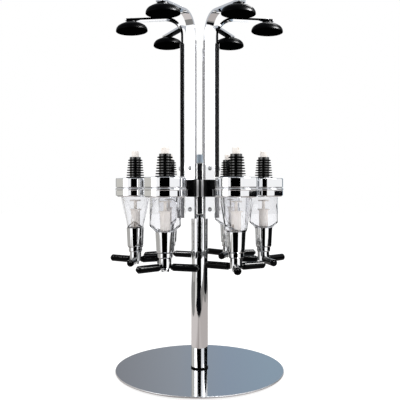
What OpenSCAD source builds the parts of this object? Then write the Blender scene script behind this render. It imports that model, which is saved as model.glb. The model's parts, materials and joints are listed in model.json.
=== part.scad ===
// Rotary liquor dispenser for six bottles: a carousel of measuring optics on a pole and a round base.
// Millimetres, +Z up, origin on the floor at the middle of the base.

/* [Base] */
// Diameter of the round base plate
base_d = 280; // [250:5:320]
// Thickness of the base plate
base_t = 3; // [2.5:0.5:6]
// Rounding of the base plate's rim
base_edge_r = 1; // [0.4:0.1:1.2]
// Thickness of the non-slip pad under the plate
pad_t = 3; // [3:0.5:6]
// Width of the ring-shaped non-slip pad
pad_w = 65; // [30:5:90]
// How far the pad sits in from the plate's rim
pad_inset = 15; // [5:1:25]
// Thickness of the black gasket under the pole
gasket_t = 2.5; // [1:0.5:4]
// How far the gasket stands out past the pole
gasket_lip = 0.4; // [0.2:0.1:2]
// Diameter of the bolt that holds the pole to the base
base_bolt_d = 10; // [6:1:12]
// Diameter of that bolt's head
base_bolt_head_d = 18; // [16:1:24]
// Thickness of that bolt's head
base_bolt_head_t = 2.4; // [1.5:0.1:2.8]

/* [Pole] */
// Outer diameter of the pole
pole_d = 28; // [26:0.5:31]
// Wall of the pole
pole_wall = 1.5; // [1:0.25:2]
// Height of the pole's top above the base plate
pole_h = 256; // [220:2:320]
// Length of the plugs in the pole's two ends
plug_l = 30; // [20:1:60]
// Solid end left above the bolt hole in the foot plug
plug_floor = 4; // [2:0.5:8]

/* [Hub] */
// Outer diameter of the hub sleeve
hub_d = 31; // [30:0.5:34]
// Bore of the hub sleeve
hub_bore_d = 24.2; // [20:0.2:26]
// Height of the hub sleeve
hub_h = 82.8; // [76:0.2:110]
// Width of each rib that a post is screwed to
rib_w = 8; // [6:0.5:12]
// Diameter of the shaft that the hub turns on
shaft_d = 14; // [11:0.5:16]
// Length of each bush inside the hub
bush_l = 12; // [6:1:20]
// Thickness of each bush's flange
bush_flange_t = 1.5; // [1:0.25:3]
// Diameter of each bush's flange
bush_flange_d = 27; // [26.5:0.25:29]
// Diameter of the flange under the spindle bolt's head
bolt_flange_d = 15.7; // [15:0.1:20]
// Thickness of that flange
bolt_flange_t = 4.5; // [2:0.25:6]
// Width across flats of the spindle bolt's head
bolt_head_w = 10; // [8:0.5:13]
// Height of the spindle bolt's head
bolt_head_h = 9.5; // [5:0.5:12]
// Bevel of that head's corners
bolt_bevel = 0.8; // [0.3:0.1:1.2]
// Thread diameter of the spindle bolt
spindle_bolt_d = 8; // [5:0.5:8]
// Length of the spindle bolt's thread
spindle_bolt_l = 20; // [10:1:40]

/* [Posts] */
// Distance from the pole's axis to the middle of each post
post_r = 28.9; // [28:0.1:32]
// Width of each post
post_w = 17.5; // [15:0.5:19]
// Thickness of each post
post_t = 7; // [6:0.25:8]
// Wall of each post
post_wall = 1.5; // [1:0.1:1.8]
// Rounding of the posts' corners
post_corner_r = 0.5; // [0.4:0.1:1.4]
// Height of each post
post_h = 287.3; // [240:0.1:340]
// How far the posts reach below the hub
post_drop = 6.9; // [0:0.1:12]
// Shank diameter of the post screws
screw_d = 4; // [3:0.5:5]
// Head diameter of the post screws
screw_head_d = 7.3; // [6:0.1:9]
// Head height of the post screws
screw_head_h = 2.6; // [1.8:0.1:3.5]
// Width of the slots that cross in the screw heads
cross_w = 1.1; // [0.6:0.1:1.4]
// Length of those slots
cross_l = 4.4; // [3:0.1:5]
// Depth of those slots
cross_depth = 1.4; // [0.8:0.1:1.6]
// Shank length of the post screws
screw_l = 14; // [10:0.5:16]
// Distance of the screws from the hub's two ends
screw_inset = 8; // [5:0.5:14]
// Length of each post core above the upper screw
core_over = 7; // [4:0.5:20]

/* [Top arms] */
// Gap between an arm and the post it slides in
slide_gap = 0.25; // [0.2:0.05:0.5]
// Height of the arm's middle line above the post's top
arm_rise = 42.25; // [30:0.25:60]
// Radius of the arm's bend at its middle line
arm_bend_r = 27; // [15:0.5:29]
// Slope of the arm's outward run
arm_droop = 2.6; // [0:0.1:5]
// Distance from the pole's axis to the middle of each bottle cup
cup_r = 113; // [105:0.5:120]
// Length of arm past the middle of the cup
arm_tail = 10; // [8:0.5:14]
// Rounding of the arm's end corners
arm_corner_r = 2.5; // [0.5:0.25:4]

/* [Bottle cups] */
// Diameter of each bottle cup
cup_d = 52.5; // [44:0.5:60]
// Rounding of the cup's shoulder
cup_shoulder_r = 10; // [6:0.5:11]
// Rounding of the cup's lower edge
cup_edge_r = 1; // [0.5:0.1:2]
// Depth of the dished underside
cup_dish = 3; // [1:0.25:5]
// Width of the flat ring round the dished underside
cup_land = 3; // [2:0.25:5]
// Diameter of the boss between cup and arm
cup_boss_d = 17; // [12:0.5:20]
// Height of that boss above the dome
cup_boss_h = 1.2; // [0.5:0.1:3]
// Distance from the cup's lowest edge to the arm
cup_h = 16.8; // [15.5:0.1:22]
// Diameter of the arm's stud, which the cup is pushed on to
stud_d = 5; // [3:0.25:6]
// Length of the stud below the arm
stud_l = 9; // [5:0.5:10]
// Diameter of the stud's head on top of the arm
stud_head_d = 9; // [7:0.25:12]
// Height of the stud's head
stud_head_h = 2.6; // [1.5:0.1:3.2]
// How far the stud's head is set into the arm
stud_sink = 0.3; // [0.2:0.05:0.5]

/* [Holder rings] */
// Distance from the pole's axis to each optic's axis
optic_r = 107; // [104:0.5:120]
// Height of the ring's seat above the hub's lower end
seat_rise = 42.8; // [38:0.1:46]
// Outer diameter of the ring and of the collar on it
ring_d = 64.4; // [60:0.2:70]
// Height of the rolled edge at the top of the ring
bead_h = 4.8; // [2:0.1:5]
// How far that edge stands proud
bead_out = 0.6; // [0.2:0.1:1]
// Height of the ring's band under the rolled edge
band_h = 7.2; // [5:0.1:12]
// Rounding under the band
lip_r = 2.6; // [1:0.1:2.8]
// Width of the neck between ring and clip block
neck_w = 16; // [10:0.5:18]
// Height of the neck
neck_h = 10; // [6:0.5:11]
// Length of the neck's root inside the clip block
neck_root = 8; // [4:0.5:9]
// Width of each clip block
clip_w = 28; // [26:0.5:30]
// Width of a clip block's drawn-in inner end
clip_root_w = 20; // [19.5:0.25:22]
// Length of the drawn-in part
clip_taper_l = 9; // [4:0.5:12]
// Height of each clip block
clip_h = 27.5; // [22:0.5:32]
// How far the clip block reaches below the ring's seat
clip_below = 14.4; // [12:0.2:16]
// Outer face of the clip block, from the pole's axis
clip_out_r = 45; // [44:0.5:52]
// Rounding of the clip block's upright corners
clip_corner_r = 2; // [0.5:0.25:3]

/* [Collars and corks] */
// Height of each collar above its seat
collar_h = 16; // [12:0.5:22]
// Rounding of the collar's upper and lower edges
collar_edge_r = 1.6; // [0.5:0.1:2.5]
// Rise of the collar's top towards the cork
collar_crown = 0.6; // [0.2:0.1:2]
// Thickness of the collar's top
collar_top_t = 5.4; // [3:0.2:8]
// Length of the collar's spigot inside the ring
spigot_l = 10.4; // [8:0.2:11]
// Wall of that spigot
spigot_wall = 2; // [1.2:0.1:3]
// Depth of the socket that the chamber pushes into
socket_l = 4; // [3:0.25:6]
// Diameter of the cork's flange
cork_flange_d = 29.7; // [26:0.1:34]
// Thickness of the cork's flange
cork_flange_t = 1.5; // [1:0.1:3]
// Diameter of the cork's core
cork_core_d = 18.4; // [16:0.1:20]
// Height of the cork
cork_h = 34.5; // [30:0.5:44]
// Diameter of the lowest fin
fin_low_d = 28.7; // [24:0.1:32]
// Diameter of the highest fin
fin_top_d = 23.4; // [21:0.1:28]
// Height of the lowest fin above the collar
fin_first_z = 4.6; // [3.6:0.1:6]
// Step from fin to fin
fin_step = 4.1; // [3.2:0.05:4.2]
// Thickness of a fin at its root
fin_root_t = 2.6; // [2:0.1:2.9]
// Thickness of a fin at its edge
fin_edge_t = 1.6; // [0.5:0.1:1.8]
// Outer diameter of the inlet pipe
pipe_d = 12; // [9:0.25:13]
// Wall of the inlet pipe
pipe_wall = 1.8; // [1.2:0.1:2.4]
// Length of pipe above the cork
pipe_tip_l = 10; // [6:0.5:16]
// Bevel of the pipe's tip
pipe_bevel = 1; // [0.3:0.1:1.1]
// Width of the notch across the pipe's tip
notch_w = 3; // [1.5:0.25:5]
// Depth of that notch
notch_h = 4; // [2:0.25:6]
// Diameter of the shoulder under the collar's top and of the valve seat
seat_d = 18; // [16:0.5:22]
// Thickness of that shoulder and seat
seat_t = 2; // [1.5:0.25:4]

/* [Measuring chambers] */
// Outer diameter of each clear chamber
chamber_d = 47; // [42:0.5:50]
// Length of each chamber
chamber_h = 60; // [52:0.5:80]
// Wall of the chamber
chamber_wall = 2.4; // [1:0.1:2.6]
// Floor of the chamber
chamber_floor = 2.5; // [1.5:0.25:4]
// Height of the slope at the chamber's foot
slope_h = 8.8; // [5:0.2:12]
// Half the distance between the two sloping sides at the chamber's foot
side_half = 13.5; // [12.5:0.25:16]
// How much wider the sloping sides are curved than the chamber itself
side_out = 4; // [2:0.25:12]
// Diameter of the valve guide
guide_d = 15; // [13:0.5:18]
// Height of the valve guide above the chamber's floor
guide_h = 29; // [20:0.5:32]
// Diameter of the flange on top of the guide
guide_flange_d = 20; // [19:0.5:21]
// Thickness of that flange
guide_flange_t = 2; // [1:0.25:3]
// Diameter of the guide's foot through the chamber's floor
guide_foot_d = 12; // [9:0.5:12.5]
// Width of the outlet windows in the guide
window_w = 4; // [2:0.25:4.5]
// Height of the outlet windows in the guide
window_h = 9; // [4:0.5:14]

/* [Spouts] */
// Diameter of the spout at its top
spout_top_d = 30; // [28.5:0.25:34]
// Diameter of the spout at its lower end
spout_low_d = 27; // [26:0.25:30]
// Length of the spout
spout_h = 31; // [28:0.5:40]
// Bore of the spout
spout_bore_d = 22; // [21.5:0.1:22.6]
// Thickness of the spout's top
spout_top_t = 3; // [2:0.25:5]
// Bevel of the spout's lower edge
spout_bevel = 0.8; // [0.3:0.1:1.5]
// Diameter of the gland ring under the spout
gland_d = 23; // [22.8:0.1:25]
// Height of the gland ring
gland_h = 8; // [6:0.5:12]
// Length of the gland's spigot inside the spout
gland_spigot_l = 3; // [2:0.25:5]

/* [Presses] */
// Travel of each press
press_travel = 7.5; // [5:0.25:7.75]
// Diameter of the nozzle sleeve
sleeve_d = 19.4; // [18.4:0.1:19.8]
// Thickness of the sleeve's flange inside the spout
sleeve_flange_t = 3; // [2:0.25:4]
// Thickness of the web that carries the valve stem
sleeve_web_t = 8; // [5:0.5:10]
// Depth of the grips' middle line below the gland ring
grip_drop = 14; // [13.75:0.25:18]
// Diameter of the nozzle's serrated tip
tip_d = 12.5; // [11:0.25:15]
// Length of the serrated tip
tip_h = 5.5; // [4:0.25:8]
// Distance from the grips' middle line to the sleeve's shoulder above the tip
shoulder_drop = 2; // [0.5:0.25:3]
// Width of the notches in the tip
tip_notch_w = 2; // [1:0.1:2.4]
// Bore of the nozzle
nozzle_bore_d = 8.4; // [6:0.2:9]
// Bore of the sleeve
sleeve_bore_d = 14.4; // [12:0.2:15]
// Reach of a grip from the optic's axis
grip_reach = 53; // [42:0.5:54]
// Diameter of a grip
grip_d = 11.5; // [9:0.25:12]
// Diameter of a grip's bevelled inner end
grip_neck_d = 7.4; // [6.5:0.1:9]
// Length of that bevel
grip_bevel_l = 3.4; // [1:0.1:6]
// Rounding of a grip's outer end
grip_end_r = 1.5; // [0.5:0.25:2.5]
// Diameter of the button on a grip's outer end
button_d = 6.5; // [4:0.25:6.75]
// Height of that button
button_h = 2.5; // [1:0.25:4]
// Rounding of that button
button_r = 1; // [0.3:0.1:1]
// Diameter of the pin inside each grip
pin_d = 5; // [3:0.25:5]
// Thickness of grip left past the pin's end
grip_cap = 7; // [4:0.5:12]
// Diameter of the valve stem
stem_d = 5; // [4:0.25:6]
// Diameter of the valve disc
disc_d = 18; // [15:0.5:20]
// Thickness of the valve disc
disc_t = 2; // [1:0.25:3]
// Wire of the return spring
wire_d = 1.2; // [0.8:0.1:1.4]
// Diameter of the return spring at its wire's middle
spring_d = 13; // [12:0.25:17]
// Turns of the return spring
spring_turns = 6; // [3:1:8]

/* [Clearances] */
// Gap round a fixed piece in its socket
fit_gap = 0.1; // [0.05:0.01:0.2]
// Gap round a shaft, stem or sleeve that moves
run_gap = 0.08; // [0.04:0.01:0.1]
// Gap between faces that come to rest on each other
rest_gap = 0.3; // [0.1:0.05:0.5]
// Gap between the faces that the carousel turns on
thrust_gap = 0.1; // [0.05:0.05:0.3]

/* [Hidden] */
station_count = 6;
stations = [1 : station_count];
arm_count = 3;
tooth_count = 10;
fin_count = 7;
port_count = 3;
// How far each press star is turned about its own axis, from an arm that points outwards
press_turn = [88, 42, 73, 94, 86, 101];
// How far each chamber is turned about its own axis, from sloping sides that face outwards
chamber_turn = [15, 90, 30, 120, 0, 30];
$fn = 64;
far = 400;
eps = 0.01;

// Heights, from the floor up
base_top = pad_t + base_t;
pole_foot = base_top + gasket_t;
pole_top = base_top + pole_h;
hub_low = pole_top + thrust_gap + bush_flange_t;
hub_top = hub_low + hub_h;
shaft_top = hub_top + bush_flange_t + thrust_gap;
post_low = hub_low - post_drop;
post_top = post_low + post_h;
screw_levels = [hub_low + screw_inset, hub_top - screw_inset];
core_top = screw_levels[1] + core_over;
seat_z = hub_low + seat_rise;
collar_top = seat_z + collar_h;
cork_low = collar_top + collar_crown;
cork_top = cork_low + cork_h;
pipe_top = cork_top + pipe_tip_l;
ring_low = seat_z - bead_h - band_h - lip_r;
spigot_low = seat_z - spigot_l;
chamber_top = spigot_low + socket_l;
chamber_low = chamber_top - chamber_h;
floor_top = chamber_low + chamber_floor;
guide_top = floor_top + guide_h;
spout_low = chamber_low - spout_h;
gland_low = spout_low - gland_h;
gland_top = spout_low + gland_spigot_l;
flange_low = gland_top + rest_gap;
flange_top = flange_low + sleeve_flange_t;
grip_z = gland_low - grip_drop;
shoulder_z = grip_z - shoulder_drop;
tip_low = shoulder_z - tip_h;
spring_low = flange_top;
spring_top = chamber_low - spout_top_t;
valve_seat_z = seat_z - bead_h - band_h;
disc_top = valve_seat_z - press_travel - rest_gap;

// Radii and widths
pole_bore_r = pole_d / 2 - pole_wall;
shaft_r = shaft_d / 2;
rib_root = (hub_bore_d + hub_d) / 4;
post_in_r = post_r - post_t / 2;
post_out_r = post_r + post_t / 2;
post_slot_w = post_w - 2 * post_wall;
post_slot_t = post_t - 2 * post_wall;
arm_w = post_slot_w - 2 * slide_gap;
arm_t = post_slot_t - 2 * slide_gap;
chamber_r = chamber_d / 2;
spigot_bore_r = chamber_r + fit_gap;
spigot_r = spigot_bore_r + spigot_wall;
ring_bore_r = spigot_r + fit_gap;
cavity_r = chamber_r - chamber_wall;
side_tilt = atan((chamber_r - side_half) / (ring_low - chamber_low));
pipe_r = pipe_d / 2;
sleeve_r = sleeve_d / 2;
gland_bore_r = sleeve_r + run_gap;
spout_bore_r = spout_bore_d / 2;
stem_bore_r = stem_d / 2 + run_gap;
guide_foot_r = guide_foot_d / 2;
grip_low_r = sleeve_r + rest_gap;
pin_reach = grip_reach - grip_cap;
pin_root = (nozzle_bore_d / 2 + sleeve_r) / 2;
port_r = (sleeve_bore_d + stem_d) / 4;
port_d = (sleeve_bore_d - stem_d) / 2 - 4 * rest_gap;
neck_low = seat_z - bead_h / 2 - neck_h;

// The arm's bend, and the place of the cup along the arm's outward run
bend_x = post_r + arm_bend_r;
bend_z = post_top + arm_rise - arm_bend_r;
cup_x = (cup_r - bend_x) / cos(arm_droop);
run_half_t = arm_t / 2 * cos(arm_droop);
arm_end_r = cup_r + arm_tail;

// Return spring: a wire swept along a helix
wire_sides = 6;
turn_steps = 8;
spring_steps = spring_turns * turn_steps;
coil_low = spring_low + rest_gap + wire_d / 2;
coil_h = spring_top - spring_low - 2 * rest_gap - wire_d;

function station_angle(k) = 360 / station_count * (k - 2);
function wire_middle(i) = let (a = 360 * i / turn_steps)
    [spring_d / 2 * cos(a), spring_d / 2 * sin(a), coil_low + coil_h * i / spring_steps];
function wire_point(i, j) = let (a = 360 * i / turn_steps, b = 360 * j / wire_sides)
    wire_middle(i) + wire_d / 2 * [cos(b) * cos(a), cos(b) * sin(a), sin(b)];
function wire_index(i, j) = i * wire_sides + j % wire_sides;
// Least gap between neighbouring turns of the wire
spring_gap = min([
    for (i = [0 : spring_steps - turn_steps])
        for (j = [i + turn_steps / 2 : spring_steps])
            norm(wire_middle(i) - wire_middle(j)) - wire_d
]);
echo(spring_gap = spring_gap);

// Turns its children so that +X points outwards at station k
module at_station(k) {
    rotate([0, 0, station_angle(k)]) children();
}

// Moves its children to the axis of the optic at station k
module at_optic(k) {
    at_station(k) translate([optic_r, 0, 0]) children();
}

// Frame of an arm's outward run: +X along its middle line from the top of the bend, +Z square to it
module at_arm_run() {
    translate([bend_x, 0, bend_z + arm_bend_r]) rotate([0, arm_droop, 0]) children();
}

// A ring or disc between two heights
module ring(z_low, z_top, r_out, r_in = 0) {
    difference() {
        translate([0, 0, z_low]) cylinder(h = z_top - z_low, r = r_out);
        if (r_in > 0) translate([0, 0, z_low - eps]) cylinder(h = z_top - z_low + 2 * eps, r = r_in);
    }
}

// Rectangle with round corners about the origin
module round_box(x, y, r) {
    square([x - 2 * r, y], center = true);
    square([x, y - 2 * r], center = true);
    for (i = [-1, 1]) {
        for (j = [-1, 1]) translate([i * (x / 2 - r), j * (y / 2 - r)]) circle(r = r);
    }
}

module base_plate() color("silver") difference() {
    translate([0, 0, pad_t]) rotate_extrude() {
        square([base_d / 2 - base_edge_r, base_t]);
        translate([0, base_edge_r]) square([base_d / 2, base_t - 2 * base_edge_r]);
        for (z = [base_edge_r, base_t - base_edge_r])
            translate([base_d / 2 - base_edge_r, z]) circle(r = base_edge_r);
    }
    translate([0, 0, pad_t - eps]) cylinder(h = base_t + 2 * eps, r = base_bolt_d / 2 + rest_gap);
}

module base_pad() color("dimgray")
    ring(0, pad_t, base_d / 2 - pad_inset, base_d / 2 - pad_inset - pad_w);

module base_bolt() color("lightgray") {
    ring(pad_t - base_bolt_head_t, pad_t, base_bolt_head_d / 2);
    ring(pad_t - eps, pole_foot + plug_l - plug_floor - rest_gap, base_bolt_d / 2);
}

module base_gasket() color("black")
    ring(base_top, pole_foot, pole_d / 2 + gasket_lip, base_bolt_d / 2 + rest_gap);

module pole() color("silver")
    ring(pole_foot, pole_top, pole_d / 2, pole_bore_r);

module pole_plug() color("gray") difference() {
    ring(pole_foot, pole_foot + plug_l, pole_bore_r - fit_gap);
    translate([0, 0, pole_foot - eps])
        cylinder(h = plug_l - plug_floor + eps, r = base_bolt_d / 2 + fit_gap);
}

module spindle() color("gray") difference() {
    union() {
        ring(pole_top - plug_l, pole_top, pole_bore_r - fit_gap);
        ring(pole_top - plug_l / 2, shaft_top, shaft_r);
    }
    translate([0, 0, shaft_top - spindle_bolt_l - rest_gap])
        cylinder(h = spindle_bolt_l + far, r = spindle_bolt_d / 2 + fit_gap);
}

module spindle_bolt() color("lightsteelblue") {
    ring(shaft_top - spindle_bolt_l, shaft_top + eps, spindle_bolt_d / 2);
    ring(shaft_top, shaft_top + bolt_flange_t, bolt_flange_d / 2);
    translate([0, 0, shaft_top + bolt_flange_t - eps]) intersection() {
        cylinder(h = bolt_head_h + eps, d = bolt_head_w / cos(30), $fn = 6);
        bolt_crown(bolt_head_w / 2 / cos(30), bolt_head_h + eps);
    }
}

// Bevelled disc that takes the corners off a hexagon head
module bolt_crown(r, h) {
    rotate_extrude() polygon([[0, -far], [r, -far], [r, h - bolt_bevel], [r - 2 * bolt_bevel, h], [0, h]]);
}

module hub() color("silver") difference() {
    union() {
        ring(hub_low, hub_top, hub_d / 2);
        for (k = stations)
            at_station(k) translate([rib_root, -rib_w / 2, hub_low])
                cube([post_in_r - rib_root, rib_w, hub_h]);
    }
    translate([0, 0, hub_low - eps]) cylinder(h = hub_h + 2 * eps, d = hub_bore_d);
    for (k = stations) at_station(k) screw_holes();
}

// Clearance holes for the two screws of one post
module screw_holes() {
    for (z = screw_levels)
        translate([post_out_r - screw_l - rest_gap, 0, z]) rotate([0, 90, 0])
            cylinder(h = screw_l + 2 * rest_gap, r = screw_d / 2 + fit_gap);
}

// Bush with its flange at flange_z; way is 1 where the bush goes up from its flange and -1 where it goes down
module bush(flange_z, way) color("ivory") difference() {
    union() {
        ring(flange_z, flange_z + bush_flange_t, bush_flange_d / 2);
        translate([0, 0, way > 0 ? flange_z : flange_z - bush_l])
            cylinder(h = bush_l + bush_flange_t, r = hub_bore_d / 2 - fit_gap);
    }
    translate([0, 0, flange_z - far]) cylinder(h = 2 * far, r = shaft_r + run_gap);
}

module lower_bush() bush(hub_low - bush_flange_t, 1);

module upper_bush() bush(hub_top, -1);

module posts() color("gainsboro") for (k = stations) at_station(k) difference() {
    translate([post_r, 0, post_low]) linear_extrude(post_h) difference() {
        round_box(post_t, post_w, post_corner_r);
        square([post_slot_t, post_slot_w], center = true);
    }
    screw_holes();
}

module post_cores() color("dimgray") for (k = stations) at_station(k) difference() {
    translate([post_r - post_slot_t / 2 + fit_gap, -post_slot_w / 2 + fit_gap, post_low])
        cube([post_slot_t - 2 * fit_gap, post_slot_w - 2 * fit_gap, core_top - post_low]);
    screw_holes();
}

module post_screws() color("lightgray") for (k = stations) at_station(k) for (z = screw_levels)
    translate([post_out_r, 0, z]) rotate([0, 90, 0]) difference() {
        union() {
            translate([0, 0, -screw_l]) cylinder(h = screw_l + eps, d = screw_d);
            pan_head(screw_head_d / 2, screw_head_h);
        }
        translate([0, 0, screw_head_h]) {
            cube([cross_l, cross_w, 2 * cross_depth], center = true);
            cube([cross_w, cross_l, 2 * cross_depth], center = true);
        }
    }

// Low domed head with a flat foot
module pan_head(r, h) {
    dome_r = (r * r + h * h) / (2 * h);
    rotate_extrude() intersection() {
        translate([0, h - dome_r]) circle(r = dome_r);
        square([r, h]);
    }
}

module clip_blocks() color("black") for (k = stations) at_station(k) difference() {
    translate([0, 0, seat_z - clip_below]) linear_extrude(clip_h) difference() {
        intersection() {
            translate([clip_out_r / 2, 0]) round_box(clip_out_r, clip_w, clip_corner_r);
            polygon([
                [post_in_r, -clip_root_w / 2],
                [post_in_r + clip_taper_l, -clip_w],
                [far, -clip_w],
                [far, clip_w],
                [post_in_r + clip_taper_l, clip_w],
                [post_in_r, clip_root_w / 2]
            ]);
        }
        translate([post_in_r - far / 2 + post_t + fit_gap, 0])
            square([far, post_w + 2 * fit_gap], center = true);
    }
    translate([clip_out_r - neck_root - rest_gap, -neck_w / 2 - fit_gap, neck_low - fit_gap])
        cube([far, neck_w + 2 * fit_gap, neck_h + 2 * fit_gap]);
}

module holder_rings() color("silver") for (k = stations) at_station(k) difference() {
    union() {
        translate([optic_r, 0, 0]) rotate_extrude() ring_outline();
        translate([clip_out_r - neck_root, -neck_w / 2, neck_low])
            cube([optic_r - ring_bore_r - clip_out_r + neck_root, neck_w, neck_h]);
    }
    translate([optic_r, 0, ring_low - eps]) cylinder(h = seat_z - ring_low + 2 * eps, r = ring_bore_r);
}

// Half of a holder ring's cross-section, filled to its middle: round lower edge, band and rolled upper edge
module ring_outline() {
    r = ring_d / 2;
    translate([0, ring_low]) square([r - lip_r, seat_z - ring_low]);
    translate([0, ring_low + lip_r]) square([r, band_h + bead_h / 2]);
    translate([r - lip_r, ring_low + lip_r]) circle(r = lip_r);
    translate([r + bead_out - bead_h / 2, seat_z - bead_h / 2]) circle(d = bead_h);
}

module collars() color("silver") for (k = stations) at_optic(k) rotate_extrude() {
    edge_x = ring_d / 2 - collar_edge_r;
    polygon([
        [pipe_r + fit_gap, cork_low],
        [cork_flange_d / 2, cork_low],
        [edge_x, collar_top],
        [edge_x, seat_z],
        [spigot_r, seat_z],
        [spigot_r, spigot_low],
        [spigot_bore_r, spigot_low],
        [spigot_bore_r, chamber_top],
        [cavity_r, chamber_top],
        [cavity_r, collar_top - collar_top_t],
        [pipe_r + fit_gap, collar_top - collar_top_t]
    ]);
    translate([spigot_r, seat_z + collar_edge_r])
        square([ring_d / 2 - spigot_r, collar_h - 2 * collar_edge_r]);
    for (z = [seat_z + collar_edge_r, collar_top - collar_edge_r])
        translate([edge_x, z]) circle(r = collar_edge_r);
}

// Outline of one fin of the cork, from root to edge and back
function fin_outline(z, r) = [
    [cork_core_d / 2, z - fin_root_t / 2],
    [r, z - fin_edge_t / 2],
    [r, z + fin_edge_t / 2],
    [cork_core_d / 2, z + fin_root_t / 2]
];

module corks() color("black") for (k = stations) at_optic(k) rotate_extrude() polygon(concat(
    [[pipe_r + fit_gap, cork_low], [cork_flange_d / 2, cork_low]],
    [[cork_flange_d / 2, cork_low + cork_flange_t], [cork_core_d / 2, cork_low + cork_flange_t]],
    [
        for (i = [0 : fin_count - 1])
            each fin_outline(
                cork_low + fin_first_z + i * fin_step,
                (fin_low_d + (fin_top_d - fin_low_d) * i / (fin_count - 1)) / 2
            )
    ],
    [[cork_core_d / 2, cork_top], [pipe_r + fit_gap, cork_top]]
));

module inlet_pipes() color("cornsilk") for (k = stations) at_optic(k) difference() {
    union() {
        ring(valve_seat_z, pipe_top - pipe_bevel, pipe_r);
        translate([0, 0, pipe_top - pipe_bevel])
            cylinder(h = pipe_bevel, r1 = pipe_r, r2 = pipe_r - pipe_bevel);
        ring(valve_seat_z, valve_seat_z + seat_t, seat_d / 2);
        ring(collar_top - collar_top_t - seat_t, collar_top - collar_top_t, seat_d / 2);
    }
    translate([0, 0, valve_seat_z - eps])
        cylinder(h = pipe_top - valve_seat_z + 2 * eps, r = pipe_r - pipe_wall);
    translate([-pipe_d, -notch_w / 2, pipe_top - notch_h]) cube([2 * pipe_d, notch_w, far]);
}

// One of a chamber's two sloping sides: a leaning cylinder that meets the given radius under the holder ring
module sloping_side(r, way)
    translate([way * r, 0, ring_low]) rotate([0, way * side_tilt, 0])
        translate([-way * (r + side_out), 0, -far / 2]) cylinder(h = far, r = r + side_out);

// Body of a chamber, drawn in by the given wall: a round cup with two sloping sides and a sloped foot
module chamber_body(wall, low, top) {
    r = chamber_r - wall;
    foot_r = spout_top_d / 2 - wall;
    intersection() {
        rotate_extrude() polygon([[0, low], [foot_r, low], [r, low + slope_h], [r, top], [0, top]]);
        sloping_side(r, 1);
        sloping_side(r, -1);
    }
}

module measure_chambers() color("lightcyan", 0.5) for (k = stations) at_optic(k)
    rotate([0, 0, chamber_turn[k - 1]]) difference() {
        chamber_body(0, chamber_low, chamber_top);
        chamber_body(chamber_wall, floor_top, chamber_top + eps);
        translate([0, 0, chamber_low - eps])
            cylinder(h = chamber_floor + 2 * eps, r = guide_foot_r + fit_gap);
    }

module valve_guides() color("antiquewhite") for (k = stations) at_optic(k)
    rotate([0, 0, chamber_turn[k - 1]]) difference() {
        union() {
            ring(spring_top, floor_top + eps, guide_foot_r);
            ring(floor_top, guide_top, guide_d / 2);
            ring(guide_top - guide_flange_t, guide_top, guide_flange_d / 2);
        }
        translate([0, 0, spring_top - eps]) cylinder(h = guide_top - spring_top + 2 * eps, r = stem_bore_r);
        translate([-window_w / 2, -guide_d, floor_top]) cube([window_w, 2 * guide_d, window_h]);
    }

module spouts() color("silver") for (k = stations) at_optic(k) rotate_extrude() polygon([
    [guide_foot_r + fit_gap, chamber_low],
    [spout_top_d / 2, chamber_low],
    [spout_low_d / 2, spout_low + spout_bevel],
    [spout_low_d / 2 - spout_bevel, spout_low],
    [spout_bore_r, spout_low],
    [spout_bore_r, spring_top],
    [guide_foot_r + fit_gap, spring_top]
]);

module gland_rings() color("silver") for (k = stations) at_optic(k) rotate_extrude() polygon([
    [gland_bore_r, gland_low],
    [gland_d / 2 - spout_bevel, gland_low],
    [gland_d / 2, gland_low + spout_bevel],
    [gland_d / 2, spout_low],
    [spout_bore_r - fit_gap, spout_low],
    [spout_bore_r - fit_gap, gland_top],
    [gland_bore_r, gland_top]
]);

module top_arm(k) color("gainsboro") at_station(k) {
    translate([post_r - arm_t / 2, -arm_w / 2, core_top + rest_gap])
        cube([arm_t, arm_w, bend_z - core_top - rest_gap]);
    translate([bend_x, 0, bend_z]) mirror([1, 0, 0]) rotate([90, 0, 0]) rotate_extrude(angle = 90)
        translate([arm_bend_r - arm_t / 2, -arm_w / 2]) square([arm_t, arm_w]);
    arm_run();
    at_arm_run() translate([cup_x, 0, 0]) {
        ring(-run_half_t - stud_l, 0, stud_d / 2);
        translate([0, 0, run_half_t - stud_sink]) pan_head(stud_head_d / 2, stud_head_h);
    }
}

// The arm's outward run, which droops from the top of the bend and has round end corners
module arm_run() {
    intersection() {
        translate([bend_x, arm_w / 2, bend_z + arm_bend_r]) rotate([90, 0, 0]) linear_extrude(arm_w) polygon([
            [0, -arm_t / 2],
            [0, arm_t / 2],
            [cup_r, arm_t / 2 - cup_r * tan(arm_droop)],
            [cup_r, -arm_t / 2 - cup_r * tan(arm_droop)]
        ]);
        linear_extrude(2 * far) {
            translate([arm_end_r / 2, 0]) round_box(arm_end_r, arm_w, arm_corner_r);
        }
    }
}

module bottle_cup(k) color("black") at_station(k) at_arm_run()
    translate([cup_x, 0, -run_half_t - cup_h]) rotate_extrude() cup_outline();

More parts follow.
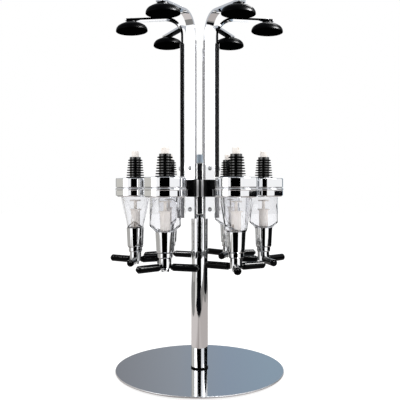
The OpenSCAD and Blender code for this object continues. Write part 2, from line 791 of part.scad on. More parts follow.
// Half of the cup's cross-section: a dome that runs tangent into the round shoulder, a boss with the hole
// for the stud, and a dished underside
module cup_outline() {
    shoulder_x = cup_d / 2 - cup_shoulder_r;
    dome_h = cup_h - cup_boss_h - cup_edge_r;
    dome_rest = shoulder_x * shoulder_x + dome_h * dome_h - cup_shoulder_r * cup_shoulder_r;
    dome_r = dome_rest / (2 * (dome_h - cup_shoulder_r));
    meet_x = shoulder_x * dome_r / (dome_r - cup_shoulder_r);
    dish_r = cup_d / 2 - cup_edge_r - cup_land;
    dish_ball = (dish_r * dish_r + cup_dish * cup_dish) / (2 * cup_dish);
    difference() {
        union() {
            square([cup_d / 2 - cup_edge_r, cup_edge_r]);
            translate([cup_d / 2 - cup_edge_r, cup_edge_r]) circle(r = cup_edge_r);
            intersection() {
                translate([0, cup_edge_r + dome_h - dome_r]) circle(r = dome_r);
                translate([0, cup_edge_r]) square([meet_x, cup_h]);
            }
            intersection() {
                translate([shoulder_x, cup_edge_r]) circle(r = cup_shoulder_r);
                translate([shoulder_x, cup_edge_r]) square([cup_shoulder_r, cup_shoulder_r]);
            }
            square([cup_boss_d / 2, cup_h]);
        }
        translate([0, cup_dish - dish_ball]) circle(r = dish_ball);
        translate([0, cup_h - stud_l - rest_gap]) square([stud_d / 2 + fit_gap, cup_h]);
    }
}

module valve_stem(k) color("antiquewhite") at_optic(k) {
    ring(disc_top - disc_t, disc_top, disc_d / 2);
    ring(flange_top - sleeve_web_t - seat_t, disc_top - disc_t + eps, stem_d / 2);
    ring(flange_top - sleeve_web_t - seat_t, flange_top - sleeve_web_t, stem_d);
}

module nozzle_sleeve(k) color("silver") at_optic(k) rotate([0, 0, press_turn[k - 1]]) difference() {
    union() {
        rotate_extrude() polygon([
            [nozzle_bore_d / 2, tip_low],
            [tip_d / 2, tip_low],
            [tip_d / 2, shoulder_z],
            [sleeve_r - spout_bevel, shoulder_z],
            [sleeve_r, shoulder_z + spout_bevel],
            [sleeve_r, flange_low],
            [spout_bore_r - rest_gap, flange_low],
            [spout_bore_r - rest_gap, flange_top],
            [stem_d / 2 + fit_gap, flange_top],
            [stem_d / 2 + fit_gap, flange_top - sleeve_web_t],
            [sleeve_bore_d / 2, flange_top - sleeve_web_t],
            [sleeve_bore_d / 2, grip_z + grip_d / 2],
            [nozzle_bore_d / 2, grip_z + grip_d / 2]
        ]);
        for (i = [1 : arm_count]) rotate([0, 90, 360 / arm_count * i])
            translate([-grip_z, 0, pin_root]) cylinder(h = pin_reach - pin_root, d = pin_d);
    }
    for (i = [1 : tooth_count]) rotate([0, 0, 360 / tooth_count * i])
        translate([0, -tip_notch_w / 2, tip_low - eps]) cube([tip_d, tip_notch_w, tip_h / 2]);
    for (i = [1 : port_count]) rotate([0, 0, 360 / port_count * (i + 0.5)])
        translate([port_r, 0, flange_top - sleeve_web_t - eps])
            cylinder(h = sleeve_web_t + 2 * eps, d = port_d);
}

module press_grips(k) color("black") at_optic(k) rotate([0, 0, press_turn[k - 1]])
    for (i = [1 : arm_count]) rotate([0, 90, 360 / arm_count * i]) translate([-grip_z, 0, 0])
        rotate_extrude() grip_outline();

// Half of a grip along its length: bevelled inner end, bore for the pin, button on the outer end
module grip_outline() {
    r = grip_d / 2;
    end_y = grip_reach - button_h;
    difference() {
        union() {
            polygon([
                [0, grip_low_r],
                [grip_neck_d / 2, grip_low_r],
                [r, grip_low_r + grip_bevel_l],
                [r, end_y - grip_end_r],
                [0, end_y - grip_end_r]
            ]);
            translate([r - grip_end_r, end_y - grip_end_r]) circle(r = grip_end_r);
            square([r - grip_end_r, end_y]);
            square([button_d / 2, grip_reach - button_r]);
            translate([button_d / 2 - button_r, grip_reach - button_r]) circle(r = button_r);
            square([button_d / 2 - button_r, grip_reach]);
        }
        square([grip_d, grip_low_r]);
        square([pin_d / 2 + fit_gap, pin_reach + rest_gap]);
    }
}

module return_spring(k) color("darkgray") at_optic(k) polyhedron(
    points = [for (i = [0 : spring_steps]) for (j = [0 : wire_sides - 1]) wire_point(i, j)],
    faces = concat(
        [for (j = [1 : wire_sides - 2]) [0, j, j + 1]],
        [
            for (i = [0 : spring_steps - 1])
                for (j = [0 : wire_sides - 1])
                    each [
                        [wire_index(i, j), wire_index(i + 1, j), wire_index(i, j + 1)],
                        [wire_index(i, j + 1), wire_index(i + 1, j), wire_index(i + 1, j + 1)]
                    ]
        ],
        [
            for (j = [1 : wire_sides - 2])
                [wire_index(spring_steps, 0), wire_index(spring_steps, j + 1), wire_index(spring_steps, j)]
        ]
    )
);

base_plate();
base_pad();
base_bolt();
base_gasket();
pole();
pole_plug();
spindle();
spindle_bolt();
hub();
lower_bush();
upper_bush();
posts();
post_cores();
post_screws();
clip_blocks();
holder_rings();
collars();
corks();
inlet_pipes();
measure_chambers();
valve_guides();
spouts();
gland_rings();
for (k = stations) {
    top_arm(k);
    bottle_cup(k);
    valve_stem(k);
    nozzle_sleeve(k);
    press_grips(k);
    return_spring(k);
}
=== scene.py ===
import json
from math import atan2, cos, pi, radians, sin

import bpy
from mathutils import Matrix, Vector


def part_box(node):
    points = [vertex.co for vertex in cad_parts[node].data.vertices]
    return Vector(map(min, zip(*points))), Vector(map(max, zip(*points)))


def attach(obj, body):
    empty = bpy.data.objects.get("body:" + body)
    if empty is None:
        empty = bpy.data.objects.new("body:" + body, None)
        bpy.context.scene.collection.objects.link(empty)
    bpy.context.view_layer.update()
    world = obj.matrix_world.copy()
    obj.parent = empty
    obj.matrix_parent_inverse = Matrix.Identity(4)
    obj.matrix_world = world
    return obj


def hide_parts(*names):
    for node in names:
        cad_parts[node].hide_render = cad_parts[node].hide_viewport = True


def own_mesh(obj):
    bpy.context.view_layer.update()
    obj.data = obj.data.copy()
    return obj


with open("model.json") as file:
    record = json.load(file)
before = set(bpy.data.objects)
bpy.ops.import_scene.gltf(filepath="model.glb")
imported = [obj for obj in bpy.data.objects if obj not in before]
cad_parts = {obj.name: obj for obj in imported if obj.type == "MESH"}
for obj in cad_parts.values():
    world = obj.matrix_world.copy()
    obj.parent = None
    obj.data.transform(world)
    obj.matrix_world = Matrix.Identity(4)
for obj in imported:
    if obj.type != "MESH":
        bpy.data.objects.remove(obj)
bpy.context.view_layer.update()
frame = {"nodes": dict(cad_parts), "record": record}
nodes = frame["nodes"]
stations = range(1, 7)

white = (1, 1, 1, 1)
mixFirst, mixSecond, mixResult = 6, 7, 2  # the colour sockets of a Mix node


def hexColour(text):
    # sRGB hex to the linear colour that the shaders take
    parts = [int(text[i:i + 2], 16) / 255 for i in (1, 3, 5)]
    return [p / 12.92 if p <= 0.04045 else ((p + 0.055) / 1.055) ** 2.4 for p in parts] + [1.0]


def perMetre(millimetres):
    # scale of a pattern whose features are this far apart
    return 1000 / millimetres


def addNode(tree, kind, values=None, links=None, **settings):
    node = tree.nodes.new(kind)
    for key, value in settings.items():
        setattr(node, key, value)
    for key, value in (values or {}).items():
        node.inputs[key].default_value = value
    for key, output in (links or {}).items():
        tree.links.new(output, node.inputs[key])
    return node


def startMaterial(name):
    material = bpy.data.materials.new(name)
    material.use_nodes = True
    tree = material.node_tree
    return material, tree, tree.nodes["Principled BSDF"]


def stationAxis(k):
    # the middle of the valve stem lies on the axis of its optic
    return sum(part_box(f"valve_stem_{k}"), Vector()) / 2


# Camera: a little above the middle of the part, one degree to the left of the front
view = dict(lens=52.1, sensor=36.0, distance=0.966, height=0.3046, azimuth=-1.0, tilt=-1.09, shift=0.001)


def makeCamera():
    data = bpy.data.cameras.new("photoCamera")
    data.lens = view["lens"]
    data.sensor_width = view["sensor"]
    data.shift_x = view["shift"]
    camera = bpy.data.objects.new("photoCamera", data)
    turn = radians(view["azimuth"])
    camera.location = (view["distance"] * sin(turn), -view["distance"] * cos(turn), view["height"])
    camera.rotation_euler = (radians(90 + view["tilt"]), 0, turn)
    bpy.context.scene.collection.objects.link(camera)
    bpy.context.scene.camera = camera


makeCamera()
bpy.context.scene.view_settings.view_transform = "Standard"
print("camera made")

# Studio: white room, pale floor, and cards that show in mirrors, one of them through clear pieces too
room = dict(diffuseLevel=0.95, floorHalf=6.0, floorColour="#B4B4B4", floorGlow=0.72)
cards = [
    # upright cards around the part, and a flat one overhead; stops make a blend from left to right
    dict(name="frontFlag", centre=(-0.06, -0.78, 0.6), size=(0.68, 1.2), turn=0, colour="#000000"),
    dict(name="frontSkirt", centre=(-0.155, -0.775, 0.135), size=(0.93, 0.27), turn=0, colour="#000000"),
    dict(name="rightSkirt", centre=(0.72, 0.235, 0.15), size=(1.23, 0.3), turn=90, colour="#0E0F11"),
    dict(name="leftSkirt", centre=(-0.94, 0.46, 0.11), size=(1.58, 0.22), turn=90, colour="#B0AEAA"),
    dict(name="rightRearFlag", centre=(0.72, 0.71, 0.5), size=(0.2, 0.6), turn=90, colour="#0C0C0E"),
    dict(name="leftCard", centre=(-0.95, 0.46, 0.5), size=(1.58, 1.0), turn=90, colour="#CDCBC4",
         throughClear=True),
    dict(name="backCard", centre=(0, 1.5, 0.65), size=(2.4, 1.0), turn=0,
         stops=[(0.36, "#8E9095"), (0.47, "#9AA0A8"), (0.56, "#96A4B4"), (0.64, "#98AAB9")]),
    dict(name="rightUpperFlag", centre=(1.13, -0.65, 1.3), size=(1.3, 0.86), turn=60, colour="#050505"),
    dict(name="leftUpperFlag", centre=(-1.13, -0.65, 1.3), size=(1.3, 0.86), turn=-60, colour="#050505"),
    dict(name="ceilingCard", centre=(0, 0.42, 0.86), size=(1.9, 1.86), turn=0, flat=True, colour="#C2C5CA"),
    # flat cards on the floor, which the pole's foot shows: a table top, and the room around it
    dict(name="roomCard", centre=(0, 0.02, 0.0003), size=(2.4, 1.6), turn=0, flat=True, colour="#8A8885"),
    dict(name="windowCard", centre=(-0.72, -0.56, 0.0006), size=(1.0, 0.3), turn=38, flat=True,
         colour="#E6E4E0"),
    dict(name="floorFlag", centre=(-0.15, -0.62, 0.0009), size=(0.64, 0.4), turn=-10, flat=True,
         colour="#06070A"),
    dict(name="tableCard", centre=(0.09, 0.03, 0.0012), size=(1.02, 0.92), turn=-8, flat=True,
         stops=[(0.265, "#D2CBC8"), (0.393, "#A29A97"), (0.4485, "#C6BFBC"), (0.559, "#BAB3B0")]),
]
lamps = [
    dict(name="leftSoftbox", place=(-0.95, -0.55, 0.75), aim=(0, 0, 0.35), size=(0.6, 1.0), watts=4.0),
    dict(name="rightSoftbox", place=(0.95, -0.5, 0.85), aim=(0, 0, 0.35), size=(0.6, 1.0), watts=5.0),
    dict(name="topSoftbox", place=(0.25, 0.1, 0.84), aim=(0.1, 0, 0.3), size=(0.3, 0.12), watts=1.5),
    # panels that are flagged off everything but one kind of piece: two only draw the highlights of the black
    # grips and cups, whose specular is low, and the third reaches the paint of the hub down between the posts
    dict(name="gripPanel", place=(0, -0.1, 0.84), aim=(0, -0.099, 0.2), size=(2.0, 0.2), watts=200,
         onlyOn="press_grips"),
    dict(name="cupPanel", place=(0.55, -0.25, 0.8), aim=(0, 0, 0.57), size=(0.3, 0.24), watts=95,
         onlyOn="bottle_cup"),
    dict(name="hubPanel", place=(0, -0.9, 0.33), aim=(0, 0, 0.33), size=(0.3, 0.3), watts=24,
         onlyOn="hub", onPaint=True),
]


def shownRays(tree):
    # one for the eye and for what mirrors and clear pieces show, zero for the light that falls on paint
    path = addNode(tree, "ShaderNodeLightPath")
    seen = addNode(tree, "ShaderNodeMath", operation="ADD", use_clamp=True,
                   links={0: path.outputs["Is Camera Ray"], 1: path.outputs["Is Glossy Ray"]})
    seen = addNode(tree, "ShaderNodeMath", operation="ADD", use_clamp=True,
                   links={0: seen.outputs[0], 1: path.outputs["Is Transmission Ray"]})
    return seen.outputs[0]


def makeWorld():
    world = bpy.data.worlds.new("whiteStudio")
    bpy.context.scene.world = world
    world.use_nodes = True
    tree = world.node_tree
    level = addNode(tree, "ShaderNodeMapRange", values={"To Min": room["diffuseLevel"], "To Max": 1.0},
                    links={"Value": shownRays(tree)})
    tree.links.new(level.outputs[0], tree.nodes["Background"].inputs["Strength"])
    tree.nodes["Background"].inputs["Color"].default_value = white


def makePlane(name, width, depth):
    mesh = bpy.data.meshes.new(name)
    x, y = width / 2, depth / 2
    mesh.from_pydata([(-x, -y, 0), (x, -y, 0), (x, y, 0), (-x, y, 0)], [], [(0, 1, 2, 3)])
    plane = bpy.data.objects.new(name, mesh)
    bpy.context.scene.collection.objects.link(plane)
    return plane


def makeFloor():
    # matte paper sweep: takes the shadow, and glows for the eye and in mirrors until it looks white
    floor = makePlane("paperFloor", room["floorHalf"] * 2, room["floorHalf"] * 2)
    material, tree, shader = startMaterial("paperSweep")
    shader.inputs["Base Color"].default_value = hexColour(room["floorColour"])
    shader.inputs["Roughness"].default_value = 1.0
    shader.inputs["Specular IOR Level"].default_value = 0.0
    shader.inputs["Emission Color"].default_value = white
    glow = addNode(tree, "ShaderNodeMath", operation="MULTIPLY", values={1: room["floorGlow"]},
                   links={0: shownRays(tree)})
    tree.links.new(glow.outputs[0], shader.inputs["Emission Strength"])
    floor.data.materials.append(material)


def makeCard(card):
    plane = makePlane(card["name"], *card["size"])
    plane.location = card["centre"]
    plane.rotation_euler = (0 if card.get("flat") else pi / 2, 0, radians(card["turn"]))
    material, tree, shader = startMaterial(card["name"])
    tree.nodes.remove(shader)
    glow = addNode(tree, "ShaderNodeEmission", values={"Strength": 1.0})
    if "stops" in card:
        coords = addNode(tree, "ShaderNodeTexCoord")
        across = addNode(tree, "ShaderNodeSeparateXYZ", links={0: coords.outputs["Generated"]})
        blend = addNode(tree, "ShaderNodeValToRGB", links={"Fac": across.outputs["X"]})
        first, last = blend.color_ramp.elements
        first.position, first.color = card["stops"][0][0], hexColour(card["stops"][0][1])
        last.position, last.color = card["stops"][-1][0], hexColour(card["stops"][-1][1])
        for position, colour in card["stops"][1:-1]:
            blend.color_ramp.elements.new(position).color = hexColour(colour)
        tree.links.new(blend.outputs[0], glow.inputs["Color"])
    else:
        glow.inputs["Color"].default_value = hexColour(card["colour"])
    tree.links.new(glow.outputs[0], tree.nodes["Material Output"].inputs["Surface"])
    material.cycles.emission_sampling = "NONE"
    plane.data.materials.append(material)
    plane.visible_camera = False
    plane.visible_diffuse = False
    plane.visible_transmission = card.get("throughClear", False)
    plane.visible_shadow = False


def makeLamp(lamp):
    data = bpy.data.lights.new(lamp["name"], "AREA")
    data.shape = "RECTANGLE"
    data.size, data.size_y = lamp["size"]
    data.energy = lamp["watts"]
    light = bpy.data.objects.new(lamp["name"], data)
    light.location = lamp["place"]
    light.rotation_euler = (Vector(lamp["aim"]) - light.location).to_track_quat("-Z", "Y").to_euler()
    light.visible_camera = False
    if "onlyOn" in lamp:
        light.visible_diffuse = lamp.get("onPaint", False)
        light.visible_glossy = not light.visible_diffuse
        lit = bpy.data.collections.new(lamp["onlyOn"])
        for name in nodes:
            if name.startswith(lamp["onlyOn"]):
                lit.objects.link(nodes[name])
        light.light_linking.receiver_collection = lit
    bpy.context.scene.collection.objects.link(light)


makeWorld()
makeFloor()
for card in cards:
    makeCard(card)
for lamp in lamps:
    makeLamp(lamp)
print("studio made")

# Mirror metals with a faint uneven haze: chromium plate, buffed, gives a bright clear mirror, and stainless
# sheet, polished, a greyer and slightly duller one
haze = dict(low=0.3, high=0.75)  # the stretch of the noise that the roughness follows
chrome = dict(name="chromiumPlate", colour="#F1F2F4", roughLow=0.015, roughHigh=0.06, hazeMm=14, detail=4.0)
steel = dict(name="polishedStainless", colour="#DDE0E4", roughLow=0.03, roughHigh=0.09, hazeMm=40, detail=5.0)


def mirrorMetal(finish):
    material, tree, shader = startMaterial(finish["name"])
    coords = addNode(tree, "ShaderNodeTexCoord")
    cloud = addNode(tree, "ShaderNodeTexNoise", links={"Vector": coords.outputs["Object"]},
                    values={"Scale": perMetre(finish["hazeMm"]), "Detail": finish["detail"]})
    rough = addNode(tree, "ShaderNodeMapRange", links={"Value": cloud.outputs[0]},
                    values={"From Min": haze["low"], "From Max": haze["high"],
                            "To Min": finish["roughLow"], "To Max": finish["roughHigh"]})
    shader.inputs["Base Color"].default_value = hexColour(finish["colour"])
    shader.inputs["Metallic"].default_value = 1.0
    tree.links.new(rough.outputs[0], shader.inputs["Roughness"])
    return material


# Blue-passivated zinc on steel: satin metal with a cold tint
zinc = dict(dark="#CFDCE8", light="#E6F0F8", rough=0.7, patchMm=3, detail=3.0)


def zincPlate():
    material, tree, shader = startMaterial("bluePassivatedZinc")
    coords = addNode(tree, "ShaderNodeTexCoord")
    patch = addNode(tree, "ShaderNodeTexNoise", links={"Vector": coords.outputs["Object"]},
                    values={"Scale": perMetre(zinc["patchMm"]), "Detail": zinc["detail"]})
    tint = addNode(tree, "ShaderNodeMix", data_type="RGBA", links={"Factor": patch.outputs[0]},
                   values={mixFirst: hexColour(zinc["dark"]), mixSecond: hexColour(zinc["light"])})
    tree.links.new(tint.outputs[mixResult], shader.inputs["Base Color"])
    shader.inputs["Metallic"].default_value = 1.0
    shader.inputs["Roughness"].default_value = zinc["rough"]
    return material


# Black ABS, injection moulded: deep black, with sharp highlights on the polished grips and soft ones on the
# cups; specular is far below the usual 0.5, because the white room would turn them grey
# The clip blocks' sides are dull, with a painted pale band on them: painted reflection standing in for the
# bright hub that narrower blocks would let show
blackAbs = dict(ior=1.5, peelMm=1.6, peelDepth=0.00001, peelStrength=0.3, detail=2.0)
glossAbs = dict(name="blackGlossAbs", colour="#030304", specular=0.06, roughLow=0.08, roughHigh=0.17)
satinAbs = dict(name="blackSatinAbs", colour="#030304", specular=0.022, roughLow=0.25, roughHigh=0.33)
dullAbsPaintedBand = dict(name="dullBlackAbsPaintedHubBand", colour="#0A0A0B", specular=0.1, roughLow=0.5, roughHigh=0.65,
                  band="#F4F4F6", bandReach=0.0345, bandHalf=0.005)


def blackPlastic(finish):
    material, tree, shader = startMaterial(finish["name"])
    coords = addNode(tree, "ShaderNodeTexCoord")
    peel = addNode(tree, "ShaderNodeTexNoise", links={"Vector": coords.outputs["Object"]},
                   values={"Scale": perMetre(blackAbs["peelMm"]), "Detail": blackAbs["detail"]})
    rough = addNode(tree, "ShaderNodeMapRange", links={"Value": peel.outputs[0]},
                    values={"To Min": finish["roughLow"], "To Max": finish["roughHigh"]})
    bump = addNode(tree, "ShaderNodeBump", links={"Height": peel.outputs[0]},
                   values={"Strength": blackAbs["peelStrength"], "Distance": blackAbs["peelDepth"]})
    shader.inputs["Base Color"].default_value = hexColour(finish["colour"])
    if "band" in finish:
        # the painted pale band, standing in for the bright hub, lies at one distance from the pole's axis
        level = addNode(tree, "ShaderNodeVectorMath", operation="MULTIPLY", values={1: (1, 1, 0)},
                        links={0: coords.outputs["Object"]})
        reach = addNode(tree, "ShaderNodeVectorMath", operation="LENGTH", links={0: level.outputs[0]})
        beside = addNode(tree, "ShaderNodeMath", operation="SUBTRACT", values={1: finish["bandReach"]},
                         links={0: reach.outputs["Value"]})
        beside = addNode(tree, "ShaderNodeMath", operation="ABSOLUTE", links={0: beside.outputs[0]})
        fade = addNode(tree, "ShaderNodeMapRange", links={"Value": beside.outputs[0]},
                       values={"From Max": finish["bandHalf"]})
        tint = addNode(tree, "ShaderNodeMix", data_type="RGBA", links={"Factor": fade.outputs[0]},
                       values={mixFirst: hexColour(finish["band"]), mixSecond: hexColour(finish["colour"])})
        tree.links.new(tint.outputs[mixResult], shader.inputs["Base Color"])
    shader.inputs["IOR"].default_value = blackAbs["ior"]
    shader.inputs["Specular IOR Level"].default_value = finish["specular"]
    tree.links.new(rough.outputs[0], shader.inputs["Roughness"])
    tree.links.new(bump.outputs[0], shader.inputs["Normal"])
    return material


# Black nitrile rubber, moulded: dull black fins and seals, and a shinier core between the fins; the real
# grain is too fine to show, so it is drawn coarser
rubber = dict(dark="#020202", light="#050505", grainMm=0.9, grainDepth=0.00002, grainStrength=0.4, detail=3.0)
dullRubber = dict(name="dullNitrileRubber", specular=0.03, roughLow=0.4, roughHigh=0.55)
shinyRubber = dict(name="shinyNitrileRubber", specular=1.0, roughLow=0.15, roughHigh=0.25)


def blackRubber(finish):
    material, tree, shader = startMaterial(finish["name"])
    coords = addNode(tree, "ShaderNodeTexCoord")
    grain = addNode(tree, "ShaderNodeTexNoise", links={"Vector": coords.outputs["Object"]},
                    values={"Scale": perMetre(rubber["grainMm"]), "Detail": rubber["detail"]})
    tint = addNode(tree, "ShaderNodeMix", data_type="RGBA", links={"Factor": grain.outputs[0]},
                   values={mixFirst: hexColour(rubber["dark"]), mixSecond: hexColour(rubber["light"])})
    rough = addNode(tree, "ShaderNodeMapRange", links={"Value": grain.outputs[0]},
                    values={"To Min": finish["roughLow"], "To Max": finish["roughHigh"]})
    bump = addNode(tree, "ShaderNodeBump", links={"Height": grain.outputs[0]},
                   values={"Strength": rubber["grainStrength"], "Distance": rubber["grainDepth"]})
    shader.inputs["Specular IOR Level"].default_value = finish["specular"]
    tree.links.new(tint.outputs[mixResult], shader.inputs["Base Color"])
    tree.links.new(rough.outputs[0], shader.inputs["Roughness"])
    tree.links.new(bump.outputs[0], shader.inputs["Normal"])
    return material


# Clear styrene, moulded: see-through, with grey edges where the eye looks along the wall; it bends light less
# than the usual 1.59, to match how plainly the guide shows through the chamber
styrene = dict(colour="#FDFDFE", ior=1.3, roughLow=0.0, roughHigh=0.05, flowMm=9, flowFrom=0.35, detail=2.0,
               smoke="#C6C8CC", smokeDensity=70.0)


def clearPlastic():
    material, tree, shader = startMaterial("clearStyrene")
    coords = addNode(tree, "ShaderNodeTexCoord")
    flow = addNode(tree, "ShaderNodeTexNoise", links={"Vector": coords.outputs["Object"]},
                   values={"Scale": perMetre(styrene["flowMm"]), "Detail": styrene["detail"]})
    rough = addNode(tree, "ShaderNodeMapRange", links={"Value": flow.outputs[0]},
                    values={"From Min": styrene["flowFrom"],
                            "To Min": styrene["roughLow"], "To Max": styrene["roughHigh"]})
    shader.inputs["Base Color"].default_value = hexColour(styrene["colour"])
    shader.inputs["IOR"].default_value = styrene["ior"]
    shader.inputs["Transmission Weight"].default_value = 1.0
    tree.links.new(rough.outputs[0], shader.inputs["Roughness"])
    smoke = addNode(tree, "ShaderNodeVolumeAbsorption",
                    values={"Color": hexColour(styrene["smoke"]), "Density": styrene["smokeDensity"]})
    tree.links.new(smoke.outputs[0], tree.nodes["Material Output"].inputs["Volume"])
    return material


# Nylon, moulded: off-white with a soft waxy shine, warm in the optics and greyer in the bushes
nylon = dict(rough=0.38, mottleMm=5, detail=3.0)
opticNylon = dict(name="creamNylon", dark="#FCF3EC", light="#FFFBF6")
bushNylon = dict(name="greyNylon", dark="#CFCFCD", light="#DDDDDB")


def mouldedNylon(finish):
    material, tree, shader = startMaterial(finish["name"])
    coords = addNode(tree, "ShaderNodeTexCoord")
    mottle = addNode(tree, "ShaderNodeTexNoise", links={"Vector": coords.outputs["Object"]},
                     values={"Scale": perMetre(nylon["mottleMm"]), "Detail": nylon["detail"]})
    tint = addNode(tree, "ShaderNodeMix", data_type="RGBA", links={"Factor": mottle.outputs[0]},
                   values={mixFirst: hexColour(finish["dark"]), mixSecond: hexColour(finish["light"])})
    tree.links.new(tint.outputs[mixResult], shader.inputs["Base Color"])
    shader.inputs["Roughness"].default_value = nylon["rough"]
    return material


materialOf = {
    "chrome": mirrorMetal(chrome),
    "polished_steel": mirrorMetal(steel),
    "zinc_steel": zincPlate(),
    "spring_steel": zincPlate(),
    "black_plastic": blackPlastic(glossAbs),
    "black_rubber": blackRubber(dullRubber),
    "clear_plastic": clearPlastic(),
    "cream_plastic": mouldedNylon(opticNylon),
    "bearing_plastic": mouldedNylon(bushNylon),
    "core_plastic": blackPlastic(satinAbs),
}
for row in frame["record"]["subparts"]:
    piece = nodes[row["node"]]
    piece.data.materials.clear()
    piece.data.materials.append(materialOf[row["material_slot"]])

# Foam pad in each cup's dished underside: dull black that takes no shine from the floor
foam = dict(dark="#020202", light="#060606", rough=0.95, specular=0.0, poreMm=1.2, poreDepth=0.0002,
            poreStrength=0.5, facesDown=-0.3)


def blackFoam():
    material, tree, shader = startMaterial("blackFoamPad")
    coords = addNode(tree, "ShaderNodeTexCoord")
    pores = addNode(tree, "ShaderNodeTexVoronoi", values={"Scale": perMetre(foam["poreMm"])},
                    links={"Vector": coords.outputs["Object"]})
    tint = addNode(tree, "ShaderNodeMix", data_type="RGBA", links={"Factor": pores.outputs["Distance"]},
                   values={mixFirst: hexColour(foam["light"]), mixSecond: hexColour(foam["dark"])})
    bump = addNode(tree, "ShaderNodeBump", links={"Height": pores.outputs["Distance"]},
                   values={"Strength": foam["poreStrength"], "Distance": foam["poreDepth"]})
    tree.links.new(tint.outputs[mixResult], shader.inputs["Base Color"])
    tree.links.new(bump.outputs[0], shader.inputs["Normal"])
    shader.inputs["Roughness"].default_value = foam["rough"]
    shader.inputs["Specular IOR Level"].default_value = foam["specular"]
    return material


foamPad = blackFoam()
cupShell = materialOf["core_plastic"]
for k in stations:
    cup = nodes[f"bottle_cup_{k}"]
    cup.data.materials[0] = cupShell
    cup.data.materials.append(foamPad)
    for face in cup.data.polygons:
        face.material_index = 1 if face.normal.z < foam["facesDown"] else 0
print("foam pads painted under the bottle cups")

# Satin plate and enamel: edges that were plated without buffing are satin, and their grey, darker than the
# mirror around them, is painted shade; the hub is enamelled pale on its ribs, and its barrel is painted black
# as a painted reflection of the dark card in front; the real grain is too fine to show, so it is drawn far
# coarser
satin = dict(grainMm=30, detail=3.0, spread=0.02)
postEdgePaintedShade = dict(name="satinChromeEdgePaintedShade", colour="#BABABC", metallic=1.0, rough=0.23)
hubRib = dict(name="silverEnamelRib", colour="#F4F4F4", metallic=0.0, rough=0.4)
hubBarrelPaintedDark = dict(name="barrelPaintedDarkReflection", colour="#060607", metallic=0.0, rough=0.3)
screwHead = dict(name="satinScrewSteel", colour="#BCBDBF", metallic=1.0, rough=0.3)
plateRim = dict(name="satinSteelRim", colour="#E4E5E8", metallic=1.0, rough=0.4)
# limits that choose the painted faces, by how squarely they face and by their distance from the axis
sides = dict(postCorner=0.4, squareOn=0.85, hubReach=0.0162, rimReach=0.1385, rimTilt=0.97)


def satinFinish(finish):
    material, tree, shader = startMaterial(finish["name"])
    coords = addNode(tree, "ShaderNodeTexCoord")
    grain = addNode(tree, "ShaderNodeTexNoise", links={"Vector": coords.outputs["Object"]},
                    values={"Scale": perMetre(satin["grainMm"]), "Detail": satin["detail"]})
    rough = addNode(tree, "ShaderNodeMapRange", links={"Value": grain.outputs[0]},
                    values={"To Min": finish["rough"] - satin["spread"],
                            "To Max": finish["rough"] + satin["spread"]})
    shader.inputs["Base Color"].default_value = hexColour(finish["colour"])
    shader.inputs["Metallic"].default_value = finish["metallic"]
    tree.links.new(rough.outputs[0], shader.inputs["Roughness"])
    return material


def paintSides(name, material, chosen):
    # chosen is given a face's distance from the pole's axis, how squarely it faces sideways from its spoke,
    # and how squarely it faces up or down
    piece = nodes[name]
    piece.data.materials.append(material)
    between = 2 * pi / len(stations)
    for face in piece.data.polygons:
        middle = piece.matrix_world @ face.center
        spoke = round(atan2(middle.y, middle.x) / between) * between
        sideways = abs(face.normal.y * cos(spoke) - face.normal.x * sin(spoke))
        if chosen(middle.xy.length, sideways, abs(face.normal.z)):
            face.material_index = len(piece.data.materials) - 1


# post edges: satin, with a greyer colour that is painted shade
paintSides("posts", satinFinish(postEdgePaintedShade), lambda reach, sideways, up: sideways > sides["postCorner"])
paintSides("hub", satinFinish(hubRib), lambda reach, sideways, up: reach > sides["hubReach"])
# the hub's barrel: black paint standing in for the dark reflection of the card in front
paintSides("hub", satinFinish(hubBarrelPaintedDark), lambda reach, sideways, up: reach <= sides["hubReach"])
# clip blocks' sides: dull black with the painted pale band, a painted reflection
paintSides("clip_blocks", blackPlastic(dullAbsPaintedBand), lambda reach, sideways, up: sideways > sides["squareOn"])
paintSides("base_plate", satinFinish(plateRim),
           lambda reach, sideways, up: reach > sides["rimReach"] and up < sides["rimTilt"])
nodes["post_screws"].data.materials[0] = satinFinish(screwHead)
print("finishes painted on the posts, hub, clip blocks, screws and base plate")

# Cork cores: the faces between the fins shine more than the fins
corkCore = dict(reach=0.0096)


def paintCorkCores():
    cork = nodes["corks"]
    cork.data.materials.append(blackRubber(shinyRubber))
    axes = [stationAxis(k) for k in stations]
    for face in cork.data.polygons:
        middle = cork.matrix_world @ face.center
        nearest = min((middle.xy - axis.xy).length for axis in axes)
        face.material_index = 1 if nearest < corkCore["reach"] else 0


paintCorkCores()
print("cork cores painted")

# Broken edges of the bent arms and of the clip blocks: they catch a thin line of light
edges = dict(arms=0.0005, clips=0.0006, steps=2, weld=0.00001, sharpFrom=40)


def breakEdges(piece, width):
    piece.modifiers.new("weld", "WELD").merge_threshold = edges["weld"]
    bevel = piece.modifiers.new("brokenEdge", "BEVEL")
    bevel.width = width
    bevel.segments = edges["steps"]
    bevel.limit_method = "ANGLE"
    bevel.angle_limit = radians(edges["sharpFrom"])
    piece.modifiers.new("evenShading", "WEIGHTED_NORMAL").keep_sharp = False


for k in stations:
    breakEdges(nodes[f"top_arm_{k}"], edges["arms"])
breakEdges(nodes["clip_blocks"], edges["clips"])
print("edges broken on the arms and clip blocks")


def smoothMesh(name, points, faces, material):
    mesh = bpy.data.meshes.new(name)
    mesh.from_pydata(points, [], faces)
    mesh.polygons.foreach_set("use_smooth", [True] * len(faces))
    mesh.materials.append(material)
    piece = bpy.data.objects.new(name, mesh)
    bpy.context.scene.collection.objects.link(piece)
    return piece


# Thin black rings, painted shade: they draw the dark lines in the joints under each spout and under each
# gland ring
jointShade = dict(upperWire=0.00045, lowerWire=0.0003, lowerInset=0.00135, around=48, about=10)


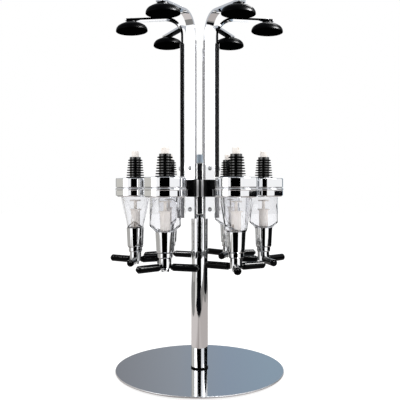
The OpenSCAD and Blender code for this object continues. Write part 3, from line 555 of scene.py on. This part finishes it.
def torusPart(middle, radius, wire):
    points, faces = [], []
    for i in range(jointShade["around"]):
        turn = 2 * pi * i / jointShade["around"]
        for j in range(jointShade["about"]):
            roll = 2 * pi * j / jointShade["about"]
            reach = radius + wire * cos(roll)
            points.append(middle + Vector((reach * cos(turn), reach * sin(turn), wire * sin(roll))))
            nextI, nextJ = (i + 1) % jointShade["around"], (j + 1) % jointShade["about"]
            corners = ((i, j), (nextI, j), (nextI, nextJ), (i, nextJ))
            faces.append([row * jointShade["about"] + side for row, side in corners])
    return points, faces


def makeJointShadeRings():
    points, faces = [], []
    upper, lower = jointShade["upperWire"], jointShade["lowerWire"]
    glandLow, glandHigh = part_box("gland_rings")
    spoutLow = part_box("spouts")[0].z
    axes = [stationAxis(k) for k in stations]
    glandRadius = glandHigh.x - max(axis.x for axis in axes)
    for axis in axes:
        for level, radius, wire in ((spoutLow - upper, glandRadius + upper, upper),
                                    (glandLow.z - lower, glandRadius - jointShade["lowerInset"], lower)):
            ringPoints, ringFaces = torusPart(Vector((axis.x, axis.y, level)), radius, wire)
            faces += [[v + len(points) for v in face] for face in ringFaces]
            points += ringPoints
    # black rings that stand in for the shade in the joints
    rings = smoothMesh("jointShadeRings", points, faces, materialOf["black_rubber"])
    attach(rings, "carousel")


makeJointShadeRings()
print("seal rings made")

# Return springs: round wire with closed ends, squeezed between the stem's flange and the spout's roof
coil = dict(wire=0.0012, turns=6, closed=0.85, perTurn=28, sides=10, roof=0.237, travel=0.0075)


def coilLevel(turned, height):
    # how far the wire's middle has climbed after so many turns: the end turns lie wire on wire
    wire, ends = coil["wire"], coil["closed"]
    if turned < ends:
        return wire * turned / ends
    if turned > coil["turns"] - ends:
        return height - wire * (coil["turns"] - turned) / ends
    share = (turned - ends) / (coil["turns"] - 2 * ends)
    return wire + (height - 2 * wire) * share


def makeReturnSpring(k):
    coilLow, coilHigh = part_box(f"return_spring_{k}")
    middle = (coilLow + coilHigh) / 2
    half = coil["wire"] / 2
    radius = (coilHigh.x - coilLow.x) / 2 - half
    height = coilHigh.z - coilLow.z - coil["wire"]
    steps = coil["turns"] * coil["perTurn"]
    points, faces = [], []
    for i in range(steps + 1):
        turned = i / coil["perTurn"]
        turn = 2 * pi * turned
        level = coilLow.z + half + coilLevel(turned, height)
        for j in range(coil["sides"]):
            roll = 2 * pi * j / coil["sides"]
            reach = radius + half * cos(roll)
            points.append((middle.x + reach * cos(turn), middle.y + reach * sin(turn),
                           level + half * sin(roll)))
    for i in range(steps):
        for j in range(coil["sides"]):
            after = (j + 1) % coil["sides"]
            corners = ((i, j), (i + 1, j), (i + 1, after), (i, after))
            faces.append([row * coil["sides"] + side for row, side in corners])
    faces.append(list(range(coil["sides"])))
    faces.append([steps * coil["sides"] + j for j in reversed(range(coil["sides"]))])
    spring = smoothMesh(f"returnSpring{k}", points, faces, materialOf["spring_steel"])
    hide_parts(f"return_spring_{k}")
    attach(spring, "carousel")
    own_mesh(spring)


for k in stations:
    makeReturnSpring(k)
print("return springs wound")
